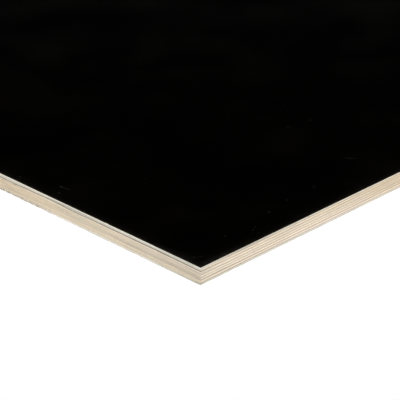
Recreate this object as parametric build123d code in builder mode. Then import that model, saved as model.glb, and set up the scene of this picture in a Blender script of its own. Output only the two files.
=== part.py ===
from build123d import *
import os

# Film-faced birch plywood sheet in its full sold size, lying flat with the best face up.
# Millimetres. Origin at the middle of the underside, +X along the length and the face grain, +Z up.

sheet_length = 2440.0
sheet_width = 1220.0
sheet_thickness = 18.0

# An odd number of rotary-cut veneers balances the sheet, so that it stays flat
ply_count = 13
# Phenolic film pressed on both faces, about 120 g of resin and paper to the square metre
film_thickness = 0.15
# The two outer plies are sanded down to bring the wood to its thickness before the films go on
outer_ply_thickness = 1.15

inner_ply_count = ply_count - 2
wood_thickness = sheet_thickness - 2 * film_thickness
inner_ply_thickness = (wood_thickness - 2 * outer_ply_thickness) / inner_ply_count


# Name of a ply, counted from the top. Odd plies have their grain along X and even ones along Y.
def ply_name(number):
    if number == 1:
        role = "face"
    elif number == ply_count:
        role = "back"
    elif number % 2 == 0:
        role = "crossband"
    else:
        role = "core"
    return f"ply_{number:02d}_{role}"


# The lay-up from the top down, as name and thickness
def lay_up():
    layers = [("film_top", film_thickness)]
    for number in range(1, ply_count + 1):
        is_outer = number in (1, ply_count)
        thickness = outer_ply_thickness if is_outer else inner_ply_thickness
        layers.append((ply_name(number), thickness))
    layers.append(("film_bottom", film_thickness))
    return layers


# One layer of the sheet. The saw squares up the whole pressed stack in one cut, so its edges are
# flush with those of the layers above and below it.
def sawn_layer(label, underside, thickness):
    with BuildPart() as layer:
        with BuildSketch(Plane.XY.offset(underside)):
            Rectangle(sheet_length, sheet_width)
        extrude(amount=thickness)
    layer.part.label = label
    return layer.part


os.makedirs("parts", exist_ok=True)
height = sheet_thickness
for name, thickness in lay_up():
    height -= thickness
    piece = sawn_layer(name, height, thickness)
    export_step(piece, f"parts/{name}.step")
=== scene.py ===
import math

import bmesh
import bpy
from mathutils import Matrix, Vector


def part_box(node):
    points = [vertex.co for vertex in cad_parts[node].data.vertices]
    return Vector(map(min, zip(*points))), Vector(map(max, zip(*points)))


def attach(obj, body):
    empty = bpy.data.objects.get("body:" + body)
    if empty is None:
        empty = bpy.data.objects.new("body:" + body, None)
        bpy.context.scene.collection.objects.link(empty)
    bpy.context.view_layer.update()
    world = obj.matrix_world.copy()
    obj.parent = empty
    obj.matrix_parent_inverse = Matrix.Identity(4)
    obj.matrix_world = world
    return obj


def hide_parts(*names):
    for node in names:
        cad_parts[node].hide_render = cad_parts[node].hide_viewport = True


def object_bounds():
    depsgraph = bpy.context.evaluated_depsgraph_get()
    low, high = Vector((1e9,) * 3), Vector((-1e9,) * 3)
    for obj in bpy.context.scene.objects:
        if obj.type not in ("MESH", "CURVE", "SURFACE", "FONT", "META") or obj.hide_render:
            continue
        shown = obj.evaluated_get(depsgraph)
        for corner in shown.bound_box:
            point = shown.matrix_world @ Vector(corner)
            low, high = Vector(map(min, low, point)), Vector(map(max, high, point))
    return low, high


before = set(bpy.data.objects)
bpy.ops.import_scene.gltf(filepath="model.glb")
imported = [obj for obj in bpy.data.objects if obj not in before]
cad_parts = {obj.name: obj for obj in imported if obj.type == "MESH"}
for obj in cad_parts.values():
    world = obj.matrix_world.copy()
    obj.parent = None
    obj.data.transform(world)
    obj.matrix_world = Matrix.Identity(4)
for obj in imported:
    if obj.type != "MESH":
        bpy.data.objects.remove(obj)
sheet_low, sheet_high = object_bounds()

# The birch veneers: thirteen sheets peeled from the log, laid crosswise with dark resin glue between
# them and pressed hot. A saw squares up the pressed stack on all four sides, so each edge shows side
# grain and end grain by turns, with plucked fibres along the plies and small breaks at the arrises.
wood_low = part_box("film_bottom")[1].z
wood_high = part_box("film_top")[0].z
# Steps in which the edges are divided, fine on the outer plies and on the films
fine_step = 0.00125
coarse_step = 0.0025
# Subdivide makes 100 cuts at most, so each side is divided twice, and 61 goes into each side's count
parts_at_once = 61
# Points this near to a side of the sheet are on its sawn edge
rim_reach = fine_step * 0.9
# How deep the plucked fibres are, their share of it in the middle of a ply, and the noise's own size
fuzz_depth = 0.00012
fuzz_in_middle = 0.4
fuzz_grain = 0.0022
# How deep the chips of the outer plies are, and the noise's own size
veneer_chip_depth = 0.0005
chip_grain = 0.0056
# A chip starts where the noise passes the first of these, and is at its full depth past the second
chip_start = 0.82
chip_full = 0.90
# Breaks in the arris of the left-hand edge, by their place along it, length and depth
top_breaks = [(-0.4835, 0.0040, 0.0004), (0.1320, 0.0070, 0.0012), (0.3965, 0.0040, 0.0009)]
bottom_breaks = [
    (-0.4070, 0.0040, 0.0012),
    (-0.3880, 0.0060, 0.0007),
    (-0.3690, 0.0040, 0.0009),
    (-0.3520, 0.0080, 0.0008),
    (-0.3390, 0.0050, 0.0010),
    (0.0760, 0.0080, 0.0011),
    (0.4410, 0.0060, 0.0008),
]
# The edges are unrolled onto this share of the map, in rows of this length, with gaps in shares
edge_share = 0.93
row_length = 0.305
row_end_gap = 0.005
row_gap = 0.15
face_gap = 0.1
# A face points along an axis if its normal has more than this of it
mostly = 0.7


def select_edges(slab, chosen):
    bpy.ops.object.mode_set(mode="EDIT")
    bpy.ops.mesh.select_mode(type="EDGE")
    bpy.ops.mesh.select_all(action="DESELECT")
    grid = bmesh.from_edit_mesh(slab.data)
    for edge in grid.edges:
        if chosen(edge.verts[0].co, edge.verts[1].co):
            edge.select_set(True)
    bmesh.update_edit_mesh(slab.data)


def divide(slab, chosen, parts):
    """Cuts the chosen edges into that many equal parts, in steps that the operator allows."""
    for step in (parts_at_once, parts // parts_at_once) if parts > parts_at_once else (parts,):
        select_edges(slab, chosen)
        bpy.ops.mesh.subdivide(number_cuts=step - 1, smoothness=0)
    bpy.ops.object.mode_set(mode="OBJECT")


def sawn_slab(name, node, step, rows):
    """A layer as the press made it, with its edges divided finely enough to carry the saw's marks."""
    low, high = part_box(node)
    bpy.ops.object.select_all(action="DESELECT")
    bpy.ops.mesh.primitive_cube_add(size=1, location=(low + high) / 2, scale=high - low)
    slab = bpy.context.object
    slab.name = slab.data.name = name
    bpy.ops.object.transform_apply(location=True, rotation=True, scale=True)
    length, width = high.x - low.x, high.y - low.y
    if rows > 1:
        divide(slab, lambda a, b: abs(a.z - b.z) > (high.z - low.z) / 2, rows)
    divide(slab, lambda a, b: abs(a.x - b.x) > step / 2, round(length / step))
    divide(
        slab,
        lambda a, b: abs(a.y - b.y) > step / 2 and min(abs(a.x), abs(b.x)) > length / 2 - step / 2,
        round(width / step),
    )
    return slab


def wear_back(slab, node, texture, depth, middle=1.0):
    """Sets the edges back by the texture, most at the top and bottom of the layer."""
    low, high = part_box(node)
    centre = (low.z + high.z) / 2
    sides = {
        "left": ("X", low.x, 1),
        "right": ("X", high.x, -1),
        "front": ("Y", low.y, 1),
        "back": ("Y", high.y, -1),
    }
    for side, (axis, place, inward) in sides.items():
        group = slab.vertex_groups.new(name=side)
        for vertex in slab.data.vertices:
            at = vertex.co.x if axis == "X" else vertex.co.y
            if abs(at - place) < rim_reach:
                to_rim = abs(vertex.co.z - centre) / (high.z - centre)
                group.add([vertex.index], middle + (1 - middle) * to_rim, "REPLACE")
        bpy.context.view_layer.objects.active = slab
        bpy.ops.object.modifier_add(type="DISPLACE")
        modifier = slab.modifiers[-1]
        modifier.texture = texture
        modifier.texture_coords = "LOCAL"
        modifier.direction = axis
        modifier.mid_level = 0
        modifier.strength = depth * inward
        modifier.vertex_group = side
        bpy.ops.object.modifier_apply(modifier=modifier.name)
    slab.vertex_groups.clear()


def break_out(slab, breaks, level):
    """Knocks splinters out of the left-hand edge at that level, deepest in their middle."""
    for place, length, depth in breaks:
        for share in (1.0, 0.5):
            bpy.ops.object.mode_set(mode="EDIT")
            bpy.ops.mesh.select_mode(type="VERT")
            bpy.ops.mesh.select_all(action="DESELECT")
            grid = bmesh.from_edit_mesh(slab.data)
            for vertex in grid.verts:
                at_rim = abs(vertex.co.z - level) < fuzz_depth and vertex.co.x < sheet_low.x + fine_step
                vertex.select_set(at_rim and abs(vertex.co.y - place) < length * share / 2)
            bmesh.update_edit_mesh(slab.data)
            bpy.ops.transform.translate(value=(depth / 2, 0, 0))
            bpy.ops.object.mode_set(mode="OBJECT")


def within(gap, share):
    """The share's place between two gaps, one at each end."""
    return gap + (1 - 2 * gap) * share


def lay_out_edges(slab, node):
    """Unrolls the four edges onto the map in short rows, since they are all that shows of a veneer."""
    low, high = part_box(node)
    length, width = high.x - low.x, high.y - low.y
    row_height = edge_share / round(2 * (length + width) / row_length)
    layer = slab.data.uv_layers.new(name="OFBake")
    for face in slab.data.polygons:
        faces_up = abs(face.normal.z) > mostly
        on_end = abs(face.normal.x) > mostly
        side_length = width if on_end else length
        beyond = (face.normal.x if on_end else face.normal.y) > 0
        start = (2 * length if on_end else 0) + (side_length if beyond else 0)
        middle = face.center.y - low.y if on_end else face.center.x - low.x
        row = math.floor((start + middle) / row_length)
        for corner in face.loop_indices:
            point = slab.data.vertices[slab.data.loops[corner].vertex_index].co
            if faces_up:
                across = (point.x - low.x) / length / 2 + (0.5 if face.normal.z > 0 else 0)
                down = edge_share + (1 - edge_share) * within(face_gap, (point.y - low.y) / width)
            else:
                along = point.y - low.y if on_end else point.x - low.x
                across = min(max((start + along) / row_length - row, 0), 1)
                up = (point.z - low.z) / (high.z - low.z)
                down = (row + within(row_gap, up)) * row_height
            layer.data[corner].uv = (within(row_end_gap, across), down)


# Tones of the wood, and of what has stained it
bleached = (0.85, 0.81, 0.705)
weathered = (0.655, 0.61, 0.515)
pale = (0.80, 0.69, 0.55)
light_core = (0.86, 0.765, 0.64)
straw = (0.70, 0.61, 0.47)
dull = (0.66, 0.575, 0.455)
end_grain = (0.60, 0.515, 0.40)
heart_end_grain = (0.55, 0.46, 0.35)
chalky = (0.75, 0.695, 0.605)
resin_stained = (0.10, 0.091, 0.066)
bruise_grey = (0.33, 0.29, 0.235)
glue_brown = (0.22, 0.16, 0.10)
# Casts of the stains and streaks, by which the tone of the wood is multiplied
rosy_cast = (1.015, 0.985, 0.965)
handled_cast = (0.965, 0.982, 1.0)
grimy = (0.70, 0.71, 0.72)
heart_grey = (0.84, 0.825, 0.83)
mauve = (0.90, 0.875, 0.90)
smoky = (0.80, 0.785, 0.79)
knot_black = (0.50, 0.48, 0.45)
faded = (0.93, 0.935, 0.95)
washed = (1.16, 1.18, 1.22)
bright_streak = (1.13, 1.13, 1.13)
dusted = (1.08, 1.08, 1.08)
sunned = (1.0, 0.965, 0.91)
ambered = (0.95, 0.925, 0.875)
cooled = (0.98, 1.0, 1.06)
greyed = (0.92, 0.94, 1.0)
olive = (0.79, 0.79, 0.75)
resinous = (0.70, 0.71, 0.67)

# Features to the metre, along the grain, across it and through the ply
rings_per_metre = (7, 12, 900)
fibres_per_metre = (40, 2400, 2400)
vessels_per_metre = (240, 6000, 6000)
patches_per_metre = (4, 9, 60)
hearts_per_metre = (5, 14, 240)
# Features to the metre along the sheet, across it and through it
blotches_per_metre = (20, 30, 300)
tears_per_metre = (300, 300, 700)
smears_per_metre = (90, 90, 4000)
# The saw's teeth leave slanting marks this far apart, which lean over by this much for each unit up
tooth_pitch = 0.0027
tooth_slant = 0.55
# Each veneer's wood is this far on in the log from the last one's, in metres
log_gaps = (3.1, 1.7, 0.4)

# Noise stays mostly in the first range, and each feature comes in over one of the others
noise_range = (0.3, 0.7)
vessel_range = (0.6, 0.75)
heart_range = (0.45, 0.65)
blotch_range = (0.3, 0.6)
tear_range = (0.40, 0.60)
# What the ranges do to the light of the wood, to the strength of a stain and to the roughness
ring_light = (0.88, 1.09)
fibre_light = (0.88, 1.10)
vessel_light = (1.0, 0.78)
patch_light = (0.94, 1.05)
tooth_light = (0.98, 1.015)
blotch_strength = (0.80, 1.0)
smear_strength = (0.45, 1.0)
wood_roughness = (0.6, 0.78)
wood_gloss = 0.25
tooth_relief = 0.5
vessel_relief = 0.6
grain_strength = 0.6
grain_depth = 0.00008
# The end tone comes in as a face turns from the long side to the short one
turning_to_end = (0.5, 0.8)
# The wood within this reach of the near corner was handled
handled_reach = 0.24

# Half the height of a glue line
glue_line = 0.00009
# The one glue line whose resin soaked out, how far above it the stain lies, and half its height
stained_glue_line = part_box("ply_03_core")[0].z
stain_rise = 0.00048
stain_reach = 0.00055
stain_core = stain_reach * 0.6
# Where knots push the stained line up or down, by place along the edge, reach and height
stain_humps = [
    (-0.336, 0.036, -0.0005),
    (-0.400, 0.026, 0.0005),
    (-0.436, 0.024, -0.0004),
    (-0.455, 0.022, -0.0002),
    (-0.556, 0.032, 0.0002),
    (-0.610, 0.020, -0.0002),
]
# Torn fibres along the left-hand edge's lower arris, by their middle, reach each way and height
bruise_middle = -0.345
bruise_reach = 0.075
bruise_height = 0.0027
# How far a stain goes into the wood, and the share of its falloff past which it is at full strength
stain_depth = 0.012
full_share = 0.6
# Stains on the two near edges, by place along the edge, depth under the top, half length, half height
edge_stains = [
    ("left", -0.330, 0.0017, 0.030, 0.0010, faded),
    ("left", -0.428, 0.0020, 0.050, 0.0013, grimy),
    ("left", -0.3465, 0.0050, 0.0040, 0.0006, knot_black),
    ("left", -0.340, 0.0058, 0.055, 0.0013, faded),
    ("left", -0.595, 0.0059, 0.060, 0.0015, greyed),
    ("left", -0.607, 0.0062, 0.030, 0.0008, heart_grey),
    ("left", -0.372, 0.0082, 0.050, 0.0013, bright_streak),
    ("left", -0.350, 0.0095, 0.100, 0.0060, sunned),
    ("left", -0.595, 0.0077, 0.035, 0.0008, dusted),
    ("left", -0.592, 0.0109, 0.050, 0.0031, heart_grey),
    ("left", -0.515, 0.0110, 0.030, 0.0010, mauve),
    ("left", -0.308, 0.0111, 0.035, 0.0013, bright_streak),
    ("left", -0.375, 0.0129, 0.050, 0.0009, faded),
    ("left", -0.345, 0.0132, 0.018, 0.0008, heart_grey),
    ("left", -0.507, 0.0145, 0.040, 0.0012, bright_streak),
    ("left", -0.590, 0.0150, 0.032, 0.0011, dusted),
    ("left", -0.600, 0.0168, 0.062, 0.0012, olive),
    ("left", -0.314, 0.0171, 0.026, 0.0010, heart_grey),
    ("front", -1.213, 0.0016, 0.020, 0.0022, washed),
    ("front", -1.155, 0.0015, 0.050, 0.0016, smoky),
    ("front", -1.045, 0.0028, 0.060, 0.0008, bright_streak),
    ("front", -1.198, 0.0028, 0.030, 0.0006, dusted),
    ("front", -1.220, 0.0037, 0.012, 0.0009, heart_grey),
    ("front", -1.210, 0.0038, 0.030, 0.0010, resinous),
    ("front", -0.990, 0.0040, 0.100, 0.0025, sunned),
    ("front", -1.207, 0.0054, 0.034, 0.0010, bright_streak),
    ("front", -0.970, 0.0062, 0.100, 0.0016, faded),
    ("front", -1.205, 0.0070, 0.034, 0.0009, faded),
    ("front", -0.930, 0.0085, 0.075, 0.0085, ambered),
    ("front", -1.018, 0.0091, 0.045, 0.0008, faded),
    ("front", -1.204, 0.0104, 0.040, 0.0014, dusted),
    ("front", -1.072, 0.0118, 0.045, 0.0011, bright_streak),
    ("front", -1.193, 0.0127, 0.013, 0.0010, heart_grey),
    ("front", -1.195, 0.0132, 0.065, 0.0010, heart_grey),
    ("front", -1.190, 0.0147, 0.070, 0.0010, bright_streak),
    ("front", -1.040, 0.0155, 0.140, 0.0028, cooled),
    ("front", -1.198, 0.0165, 0.060, 0.0010, olive),
]


def add_node(tree, kind, inputs=None, **settings):
    """Makes a node with those settings, and links or sets each of the inputs."""
    made = tree.nodes.new(kind)
    for name, value in settings.items():
        setattr(made, name, value)
    for socket, value in (inputs or {}).items():
        if isinstance(value, bpy.types.NodeSocket):
            tree.links.new(value, made.inputs[socket])
        else:
            made.inputs[socket].default_value = value
    return made


def maths(tree, operation, first, second=0.0):
    return add_node(tree, "ShaderNodeMath", {0: first, 1: second}, operation=operation).outputs[0]


def product(tree, first, *others):
    for other in others:
        first = maths(tree, "MULTIPLY", first, other)
    return first


def apart(tree, first, second):
    return maths(tree, "ABSOLUTE", maths(tree, "SUBTRACT", first, second))


def spread(tree, value, start, end, low=0.0, high=1.0):
    """The value's stretch from start to end, eased onto low to high."""
    inputs = {"Value": value, "From Min": start, "From Max": end, "To Min": low, "To Max": high}
    return add_node(tree, "ShaderNodeMapRange", inputs, interpolation_type="SMOOTHSTEP").outputs[0]


def tint(tree, amount, under, over, blend="MIX"):
    """Lays one colour over another, through a Mix node's own colour sockets, 6 and 7."""
    under, over = (side if isinstance(side, bpy.types.NodeSocket) else (*side, 1) for side in (under, over))
    inputs = {0: amount, 6: under, 7: over}
    made = add_node(tree, "ShaderNodeMix", inputs, data_type="RGBA", blend_type=blend)
    return made.outputs[2]


def figure(tree, place, stretch, detail=2.0, roughness=0.5):
    """Noise drawn out by its number of features to the metre in each direction."""
    drawn = add_node(tree, "ShaderNodeVectorMath", {0: place, 1: stretch}, operation="MULTIPLY").outputs[0]
    inputs = {"Vector": drawn, "Scale": 1.0, "Detail": detail, "Roughness": roughness}
    return add_node(tree, "ShaderNodeTexNoise", inputs).outputs["Fac"]


def oval(tree, place, centre, half_sizes, turn=0.0):
    """A spot that falls off from one at its centre to nothing at its half sizes."""
    inputs = {"Vector": place, "Location": centre, "Rotation": (0, 0, turn), "Scale": half_sizes}
    around = add_node(tree, "ShaderNodeMapping", inputs, vector_type="TEXTURE").outputs[0]
    return add_node(tree, "ShaderNodeTexGradient", {0: around}, gradient_type="SPHERICAL").outputs["Fac"]


def stain_near_edges(tree, place, low, high, colour):
    """Lays on the stains of the two near edges that reach into a veneer between those heights."""
    for side, along, depth, half_length, half_height, cast in edge_stains:
        height = sheet_high.z - depth
        if low.z - half_height < height < high.z + half_height:
            if side == "left":
                centre, half_sizes = (sheet_low.x, along, height), (stain_depth, half_length, half_height)
            else:
                centre, half_sizes = (along, sheet_low.y, height), (half_length, stain_depth, half_height)
            spot = oval(tree, place, centre, half_sizes)
            colour = tint(tree, spread(tree, spot, 0.0, full_share), colour, cast, "MULTIPLY")
    return colour


def soak_glue_line(tree, place, at, on_end, colour):
    """Darkens the short edges along the one glue line whose resin soaked into the wood."""
    line_height = stained_glue_line + stain_rise
    for along, reach, hump in stain_humps:
        shift = spread(tree, apart(tree, at[1], along), reach, 0.0, 0.0, hump)
        line_height = maths(tree, "ADD", line_height, shift)
    blotches = figure(tree, place, blotches_per_metre, detail=3)
    soaked = product(
        tree,
        spread(tree, apart(tree, at[2], line_height), stain_reach, stain_core),
        on_end,
        spread(tree, blotches, *blotch_range, *blotch_strength),
    )
    return tint(tree, soaked, colour, resin_stained)


def bruise_arris(tree, place, at, colour):
    """Greys the torn fibres along a stretch of the left-hand edge's lower arris."""
    bruise = product(
        tree,
        spread(tree, at[0], sheet_low.x + fine_step * 2, sheet_low.x + fine_step),
        spread(tree, apart(tree, at[1], bruise_middle), bruise_reach, bruise_reach / 3),
        spread(tree, at[2], bruise_height, bruise_height / 4),
        spread(tree, figure(tree, place, tears_per_metre, detail=3), *tear_range),
    )
    return tint(tree, bruise, colour, bruise_grey)


def show_glue(tree, place, at, low, high, colour):
    """Draws the glue at the veneer's top and bottom, unevenly, since the saw smears it."""
    to_glue = 1.0
    for plane in (low.z, high.z):
        if wood_low < plane < wood_high:
            to_glue = maths(tree, "MINIMUM", apart(tree, at[2], plane), to_glue)
    smeared = spread(tree, figure(tree, place, smears_per_metre), *blotch_range, *smear_strength)
    glue = product(tree, spread(tree, to_glue, glue_line, glue_line / 3), smeared)
    return tint(tree, glue, colour, glue_brown)


def birch(name, node, crosswise, long_edge, short_edge, log):
    """Sawn birch, with its grain along the sheet or crosswise, from its own place in the log."""
    low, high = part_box(node)
    material = bpy.data.materials.new(name)
    material.use_nodes = True
    tree = material.node_tree
    place = add_node(tree, "ShaderNodeTexCoord").outputs["Object"]
    at = add_node(tree, "ShaderNodeSeparateXYZ", {0: place}).outputs
    turn = -math.pi / 2 if crosswise else 0
    inputs = {"Vector": place, "Location": [log * gap for gap in log_gaps], "Rotation": (0, 0, turn)}
    wood = add_node(tree, "ShaderNodeMapping", inputs).outputs[0]

    facing = add_node(tree, "ShaderNodeNewGeometry").outputs["Normal"]
    facing_x = add_node(tree, "ShaderNodeSeparateXYZ", {0: facing}).outputs[0]
    on_end = spread(tree, maths(tree, "ABSOLUTE", facing_x), *turning_to_end)
    colour = tint(tree, on_end, long_edge, short_edge)

    rings = figure(tree, wood, rings_per_metre)
    fibres = figure(tree, wood, fibres_per_metre, detail=3)
    vessels = figure(tree, wood, vessels_per_metre, detail=1)
    patches = figure(tree, wood, patches_per_metre)
    hearts = figure(tree, wood, hearts_per_metre)
    slanted = maths(tree, "ADD", maths(tree, "ADD", at[0], at[1]), product(tree, at[2], tooth_slant))
    inputs = {"W": product(tree, slanted, 1 / tooth_pitch), "Scale": 1.0, "Detail": 1.0}
    teeth = add_node(tree, "ShaderNodeTexNoise", inputs, noise_dimensions="1D").outputs["Fac"]
    light = product(
        tree,
        spread(tree, rings, *noise_range, *ring_light),
        spread(tree, fibres, *noise_range, *fibre_light),
        spread(tree, vessels, *vessel_range, *vessel_light),
        spread(tree, patches, *noise_range, *patch_light),
        spread(tree, teeth, *noise_range, *tooth_light),
    )
    inputs = {0: colour, "Scale": light}
    colour = add_node(tree, "ShaderNodeVectorMath", inputs, operation="SCALE").outputs[0]
    colour = tint(tree, spread(tree, hearts, *heart_range), colour, rosy_cast, "MULTIPLY")

    inputs = {0: place, 1: (sheet_low.x, sheet_low.y, sheet_high.z)}
    off_corner = add_node(tree, "ShaderNodeVectorMath", inputs, operation="DISTANCE").outputs["Value"]
    colour = tint(tree, spread(tree, off_corner, handled_reach, 0.0), colour, handled_cast, "MULTIPLY")
    colour = stain_near_edges(tree, place, low, high, colour)
    if low.z - stain_reach < stained_glue_line + stain_rise < high.z + stain_reach:
        colour = soak_glue_line(tree, place, at, on_end, colour)
    if low.z - sheet_low.z < bruise_height:
        colour = bruise_arris(tree, place, at, colour)
    colour = show_glue(tree, place, at, low, high, colour)

    height = maths(tree, "ADD", product(tree, teeth, tooth_relief), fibres)
    height = maths(tree, "SUBTRACT", height, spread(tree, vessels, *vessel_range, 0.0, vessel_relief))
    inputs = {"Strength": grain_strength, "Distance": grain_depth, "Height": height}
    bump = add_node(tree, "ShaderNodeBump", inputs)
    shader = tree.nodes["Principled BSDF"]
    shader.inputs["Specular IOR Level"].default_value = wood_gloss
    tree.links.new(colour, shader.inputs["Base Color"])
    tree.links.new(spread(tree, fibres, *noise_range, *wood_roughness), shader.inputs["Roughness"])
    tree.links.new(bump.outputs[0], shader.inputs["Normal"])
    return material


saw_fuzz = bpy.data.textures.new("saw_fuzz", "CLOUDS")
saw_fuzz.noise_scale = fuzz_grain
saw_fuzz.noise_depth = 3
saw_chips = bpy.data.textures.new("saw_chips", "CLOUDS")
saw_chips.noise_scale = chip_grain
saw_chips.noise_depth = 1
saw_chips.use_color_ramp = True
saw_chips.color_ramp.elements[0].position = chip_start
saw_chips.color_ramp.elements[0].color = (0, 0, 0, 1)
saw_chips.color_ramp.elements[1].position = chip_full
saw_chips.color_ramp.elements[1].color = (1, 1, 1, 1)

# Each ply's tone on the long edges and on the short ones
veneers = [
    ("ply_01_face", chalky, bleached),
    ("ply_02_crossband", end_grain, weathered),
    ("ply_03_core", pale, weathered),
    ("ply_04_crossband", end_grain, pale),
    ("ply_05_core", pale, straw),
    ("ply_06_crossband", end_grain, straw),
    ("ply_07_core", pale, straw),
    ("ply_08_crossband", end_grain, straw),
    ("ply_09_core", light_core, dull),
    ("ply_10_crossband", heart_end_grain, straw),
    ("ply_11_core", pale, straw),
    ("ply_12_crossband", end_grain, straw),
    ("ply_13_back", bleached, bleached),
]
for number, (node, long_edge, short_edge) in enumerate(veneers, start=1):
    is_outer = number in (1, len(veneers))
    is_crosswise = number % 2 == 0
    step = fine_step if is_outer else coarse_step
    veneer = sawn_slab(node.replace("ply", "veneer"), node, step, rows=3)
    wear_back(veneer, node, saw_fuzz, fuzz_depth, middle=fuzz_in_middle)
    if is_outer:
        wear_back(veneer, node, saw_chips, veneer_chip_depth)
    if number == len(veneers):
        break_out(veneer, bottom_breaks, wood_low)
    lay_out_edges(veneer, node)
    finish = birch(f"birch_{number:02d}", node, is_crosswise, long_edge, short_edge, number)
    veneer.data.materials.append(finish)
    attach(veneer, "root")
    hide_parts(node)


# The films: paper soaked in dark phenolic resin and pressed onto both faces, a seventh of a
# millimetre thick. They are smooth, hard and nearly black, with the grain of the ply beneath just
# showing through, a few scuffs and specks of dust, and sawdust on their cut rims.
film_black = (0.0001, 0.00007, 0.00004)
film_brown = (0.0006, 0.00045, 0.0001)
# The grey of the scuffs and specks, also used for the painted highlight at the near corner
scuff_and_highlight_grey = (0.0195, 0.019, 0.0185)
dust_grey = (0.06, 0.06, 0.062)
sawdust = (0.56, 0.50, 0.38)
film_chip_depth = 0.0012
# Features to the metre along the sheet, across it and through it
clouds_per_metre = (9, 12, 1)
hairlines_per_metre = (14, 1500, 1)
scuffs_per_metre = (30, 22, 1)
drifts_per_metre = (160, 160, 1)
telegraphed_per_metre = (2.5, 160, 1)
ripples_per_metre = (14, 14, 1)
dust_per_metre = 42.0
# Ranges of the noise in which they show
cloud_range = (0.45, 0.70)
hairline_range = (0.74, 0.80)
scuff_range = (0.60, 0.75)
drift_range = (0.35, 0.65)
drift_strength = (0.4, 1.6)
# Each grain of dust fades out between these distances from the middle of its cell, both in cells, and
# the range below leaves a grain in about one cell of six
dust_size = (0.028, 0.014)
dusty_range = (0.75, 0.90)
# Sawdust thins out from the sawn edges, to one part in a thousand of the surface at this distance
sawdust_reach = 0.013
sawdust_fall = 1.3
sawdust_trace = 0.001
most_sawdust = 0.04
# The film's colour gives way to sawdust as a face turns from the flat to the rim
turning_to_rim = (0.7, 0.4)
film_roughness = (0.10, 0.15)
film_gloss = 0.3
relief_strength = 0.06
relief_depth = 0.0002
# Scuffs and specks by their middle, turn in degrees, half length, half width and strength. The last
# two are a painted highlight, lighter strips along the two arrises at the near corner.
film_marks_and_corner_highlight = [
    (-0.9373, -0.5522, -45, 0.0078, 0.0014, 0.48),
    (-1.1967, -0.3910, 90, 0.0040, 0.0016, 0.58),
    (-1.1961, -0.3987, 90, 0.0062, 0.0015, 0.34),
    (-1.1054, -0.2695, -45, 0.0042, 0.0014, 0.40),
    (-1.2079, -0.4002, -60, 0.0030, 0.0016, 0.36),
    (-1.2114, -0.3445, 0, 0.0020, 0.0020, 0.40),
    (-1.0162, -0.5710, 0, 0.0018, 0.0018, 0.43),
    (-1.0576, -0.5716, -45, 0.0018, 0.0014, 0.58),
    (-1.0900, -0.5769, 90, 0.0026, 0.0013, 0.62),
    (-1.1235, -0.5891, 0, 0.0015, 0.0015, 0.40),
    (-1.1295, -0.5920, 0, 0.0015, 0.0015, 0.42),
    (-1.1307, -0.5997, 0, 0.0014, 0.0014, 0.47),
    (-1.1577, -0.5817, -45, 0.0018, 0.0015, 0.48),
    (-0.8917, -0.4581, -30, 0.0024, 0.0018, 0.66),
    (-0.9237, -0.4530, -30, 0.0024, 0.0018, 0.60),
    (-1.2090, -0.5913, -45, 0.0022, 0.0016, 0.34),
    (-1.2046, -0.5948, -45, 0.0030, 0.0014, 0.36),
    # A painted highlight: lighter strips along the two arrises at the near corner
    (-1.2050, -0.6085, 0, 0.0560, 0.0085, 0.12),
    (-1.2170, -0.5850, 90, 0.0380, 0.0100, 0.06),
]


def scuff_and_highlight(tree, place, colour):
    """Lays on hairline scratches where the film was rubbed, and the marks of handling listed above, the
    last two of which are a painted highlight at the near corner.
    """
    hairlines = spread(tree, figure(tree, place, hairlines_per_metre, detail=1), *hairline_range)
    rubbed = spread(tree, figure(tree, place, scuffs_per_metre, detail=4, roughness=0.6), *scuff_range)
    scratched_and_highlit = product(tree, hairlines, rubbed)
    # The marks include the painted highlight along the arrises at the near corner
    for x, y, turn, half_length, half_width, strength in film_marks_and_corner_highlight:
        mark = oval(tree, place, (x, y, sheet_high.z), (half_length, half_width, 1), math.radians(turn))
        scratched_and_highlit = maths(tree, "MAXIMUM", scratched_and_highlit, spread(tree, mark, 0.0, full_share, 0.0, strength))
    return tint(tree, scratched_and_highlit, colour, scuff_and_highlight_grey)


def scatter_dust(tree, place, colour):
    """Drops a grain of dust into some of the cells that a pattern divides the film into."""
    cells = add_node(tree, "ShaderNodeTexVoronoi", {"Vector": place, "Scale": dust_per_metre}).outputs
    grains = spread(tree, cells["Distance"], *dust_size)
    chance = add_node(tree, "ShaderNodeSeparateXYZ", {0: cells["Color"]}).outputs[0]
    return tint(tree, product(tree, grains, spread(tree, chance, *dusty_range)), colour, dust_grey)


def settle_sawdust(tree, place, colour):
    """Sawdust thins out in drifts from the sawn edges inwards, and covers the cut rims."""
    to_sides = add_node(tree, "ShaderNodeVectorMath", {0: place}, operation="ABSOLUTE").outputs[0]
    inputs = {0: sheet_high, 1: to_sides}
    to_sides = add_node(tree, "ShaderNodeVectorMath", inputs, operation="SUBTRACT").outputs[0]
    to_sides = add_node(tree, "ShaderNodeSeparateXYZ", {0: to_sides}).outputs
    nearness = maths(tree, "DIVIDE", sawdust_reach, maths(tree, "MINIMUM", to_sides[0], to_sides[1]))
    settled = product(tree, maths(tree, "POWER", nearness, sawdust_fall), sawdust_trace)
    drifts = figure(tree, place, drifts_per_metre, detail=5, roughness=0.7)
    settled = product(tree, settled, spread(tree, drifts, *drift_range, *drift_strength))
    colour = tint(tree, maths(tree, "MINIMUM", settled, most_sawdust), colour, sawdust)
    facing = add_node(tree, "ShaderNodeNewGeometry").outputs["Normal"]
    facing_up = maths(tree, "ABSOLUTE", add_node(tree, "ShaderNodeSeparateXYZ", {0: facing}).outputs[2])
    return tint(tree, spread(tree, facing_up, *turning_to_rim), colour, sawdust)


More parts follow.
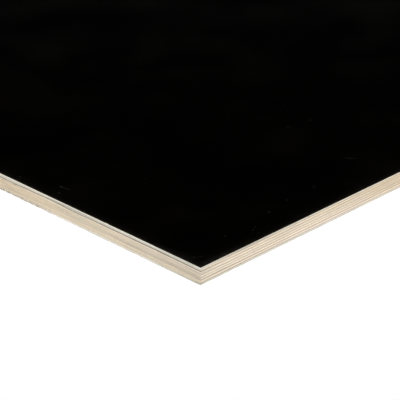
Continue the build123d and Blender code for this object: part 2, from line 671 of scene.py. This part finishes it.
def phenolic_film(name):
    material = bpy.data.materials.new(name)
    material.use_nodes = True
    tree = material.node_tree
    place = add_node(tree, "ShaderNodeTexCoord").outputs["Object"]

    clouds = figure(tree, place, clouds_per_metre, detail=6, roughness=0.7)
    colour = tint(tree, spread(tree, clouds, *cloud_range), film_black, film_brown)
    # Scuffs, specks and a painted highlight at the near corner
    colour = scuff_and_highlight(tree, place, colour)
    colour = scatter_dust(tree, place, colour)
    colour = settle_sawdust(tree, place, colour)

    telegraphed = figure(tree, place, telegraphed_per_metre, detail=3)
    height = maths(tree, "ADD", telegraphed, figure(tree, place, ripples_per_metre))
    inputs = {"Strength": relief_strength, "Distance": relief_depth, "Height": height}
    bump = add_node(tree, "ShaderNodeBump", inputs)
    shader = tree.nodes["Principled BSDF"]
    shader.inputs["Specular IOR Level"].default_value = film_gloss
    tree.links.new(colour, shader.inputs["Base Color"])
    tree.links.new(spread(tree, clouds, *noise_range, *film_roughness), shader.inputs["Roughness"])
    tree.links.new(bump.outputs[0], shader.inputs["Normal"])
    return material


for node, breaks in (("film_top", top_breaks), ("film_bottom", bottom_breaks)):
    film = sawn_slab(f"phenolic_{node}", node, fine_step, rows=1)
    wear_back(film, node, saw_chips, film_chip_depth)
    for level in (corner.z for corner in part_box(node)):
        break_out(film, breaks, level)
    film.data.materials.append(phenolic_film(f"phenolic_{node}"))
    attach(film, "root")
    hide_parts(node)


# The studio: a plain white floor, a pale surround that ends low over the horizon, and above it a dark
# room with a soft white ceiling. At the camera's own height the film has nothing bright to mirror. Seen
# from lower down or higher up, it mirrors a soft glow round the surround and the ceiling.
floor_size = 120.0
floor_gap = 0.0004
floor_white = (1.0, 1.0, 1.0)
# Heights over the horizon are the upward share of a sight line, from 0 at the horizon to 1 overhead
surround_top = 0.115
surround_fade = 0.04
glow_top = 0.30
glow_strength = 0.35
ceiling_glow_edge = 0.58
ceiling_edge = 0.80
ceiling_fade = 0.1
ceiling_strength = 0.82
key_place = (-2, -2, 3)
key_strength = 3.04
key_heading = math.radians(52)
key_elevation = math.radians(52)
key_softness = math.radians(14)

bpy.ops.object.select_all(action="DESELECT")
bpy.ops.mesh.primitive_plane_add(size=floor_size, location=(0, 0, -floor_gap))
floor = bpy.context.object
floor.name = "floor"
paint = bpy.data.materials.new("floor_paint")
paint.use_nodes = True
floor_shader = paint.node_tree.nodes["Principled BSDF"]
floor_shader.inputs["Base Color"].default_value = (*floor_white, 1)
floor_shader.inputs["Roughness"].default_value = 1.0
floor_shader.inputs["Specular IOR Level"].default_value = 0.0
floor.data.materials.append(paint)

world = bpy.data.worlds.new("studio")
bpy.context.scene.world = world
world.use_nodes = True
room = world.node_tree
direction = add_node(room, "ShaderNodeTexCoord").outputs["Generated"]
rise = add_node(room, "ShaderNodeSeparateXYZ", {0: direction}).outputs[2]
surround = spread(room, rise, surround_top + surround_fade, surround_top)
ceiling = spread(room, rise, ceiling_edge, ceiling_edge + ceiling_fade, 0.0, ceiling_strength)
mirrored = add_node(room, "ShaderNodeLightPath").outputs["Is Glossy Ray"]
low_glow = spread(room, rise, glow_top, surround_top, 0.0, glow_strength)
high_glow = spread(room, rise, ceiling_glow_edge, ceiling_edge + ceiling_fade, 0.0, ceiling_strength)
glow = product(room, maths(room, "ADD", low_glow, high_glow), mirrored)
brightness = maths(room, "MAXIMUM", maths(room, "ADD", surround, ceiling), glow)
room.links.new(brightness, room.nodes["Background"].inputs["Color"])

bpy.ops.object.light_add(type="SUN", location=key_place)
key = bpy.context.object
key.name = "key_light"
key.data.energy = key_strength
key.data.angle = key_softness
towards_key = Vector(
    (
        -math.cos(key_heading) * math.cos(key_elevation),
        -math.sin(key_heading) * math.cos(key_elevation),
        math.sin(key_elevation),
    )
)
key.rotation_mode = "QUATERNION"
key.rotation_quaternion = towards_key.to_track_quat("Z", "Y")


# The camera stands off the near corner with a long lens, as in the photograph, so that the two edges
# run away from it almost without taper and the rest of the sheet passes out of the picture.
photo_side = 400
focal_length = 162.0
sensor_side = 36.0
camera_heading = math.radians(44.12)
camera_pitch = math.radians(26.29)
camera_roll = math.radians(0.49)
corner_depth = 1.662
corner_pixel = (200.6, 267.95)
sight_range = 200.0

bpy.ops.object.camera_add()
camera = bpy.context.object
camera.name = "camera"
camera.data.lens = focal_length
camera.data.sensor_width = sensor_side
camera.data.clip_end = sight_range
bpy.context.scene.camera = camera
ahead = Vector(
    (
        math.cos(camera_heading) * math.cos(camera_pitch),
        math.sin(camera_heading) * math.cos(camera_pitch),
        -math.sin(camera_pitch),
    )
)
level = Vector((math.sin(camera_heading), -math.cos(camera_heading), 0))
upright = level.cross(ahead)
rightwards = level * math.cos(camera_roll) + upright * math.sin(camera_roll)
upwards = upright * math.cos(camera_roll) - level * math.sin(camera_roll)
pixel_angle = sensor_side / focal_length / photo_side
from_middle = [(pixel - photo_side / 2) * pixel_angle for pixel in corner_pixel]
near_corner = Vector((sheet_low.x, sheet_low.y, sheet_high.z))
sight = ahead + rightwards * from_middle[0] - upwards * from_middle[1]
turned = Matrix((rightwards, upwards, -ahead)).transposed().to_4x4()
camera.matrix_world = Matrix.Translation(near_corner - sight * corner_depth) @ turned

bpy.context.scene.view_settings.view_transform = "Standard"
